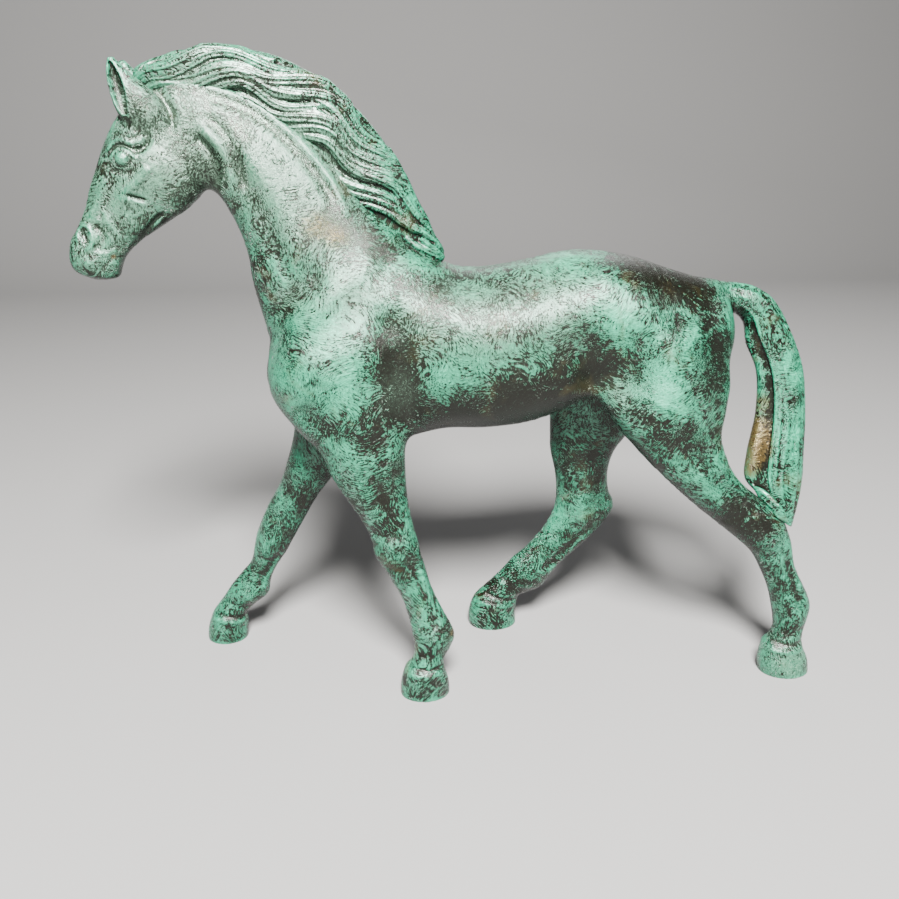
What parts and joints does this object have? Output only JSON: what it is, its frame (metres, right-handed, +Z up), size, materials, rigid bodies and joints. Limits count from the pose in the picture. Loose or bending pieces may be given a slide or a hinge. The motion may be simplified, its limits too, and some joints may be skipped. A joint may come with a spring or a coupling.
{
  "type": "horse statue",
  "caption": "Walking horse statuette: hollow bronze castings joined on sleeves, dowels and rivets, with a flowing mane and an arched tail that meets the hock.",
  "frame": {"origin": "middle of the footprint, on the plane the hooves stand on", "axes": "+Z up, the horse faces -X, its left (near) side faces -Y"},
  "size_m": [0.3462, 0.0789, 0.298],
  "materials": {
    "patinated_bronze": "brushed green verdigris over dark brown bronze, waxed",
    "raw_bronze": "bare machined bronze"
  },
  "bodies": {
    "root": {"body_casting": "patinated_bronze", "neck_casting": "patinated_bronze", "head_casting": "patinated_bronze", "near_ear": "patinated_bronze", "off_ear": "patinated_bronze", "mane_casting": "patinated_bronze", "near_fore_leg": "patinated_bronze", "off_fore_leg": "patinated_bronze", "near_hind_leg": "patinated_bronze", "off_hind_leg": "patinated_bronze", "tail_casting": "patinated_bronze", "neck_sleeve": "raw_bronze", "poll_sleeve": "raw_bronze", "sleeve_rivets": "raw_bronze", "leg_dowels": "raw_bronze", "tail_dowel": "raw_bronze", "small_pins": "raw_bronze", "vent_plug": "patinated_bronze", "chaplet_plugs": "patinated_bronze"}
  },
  "joints": []
}
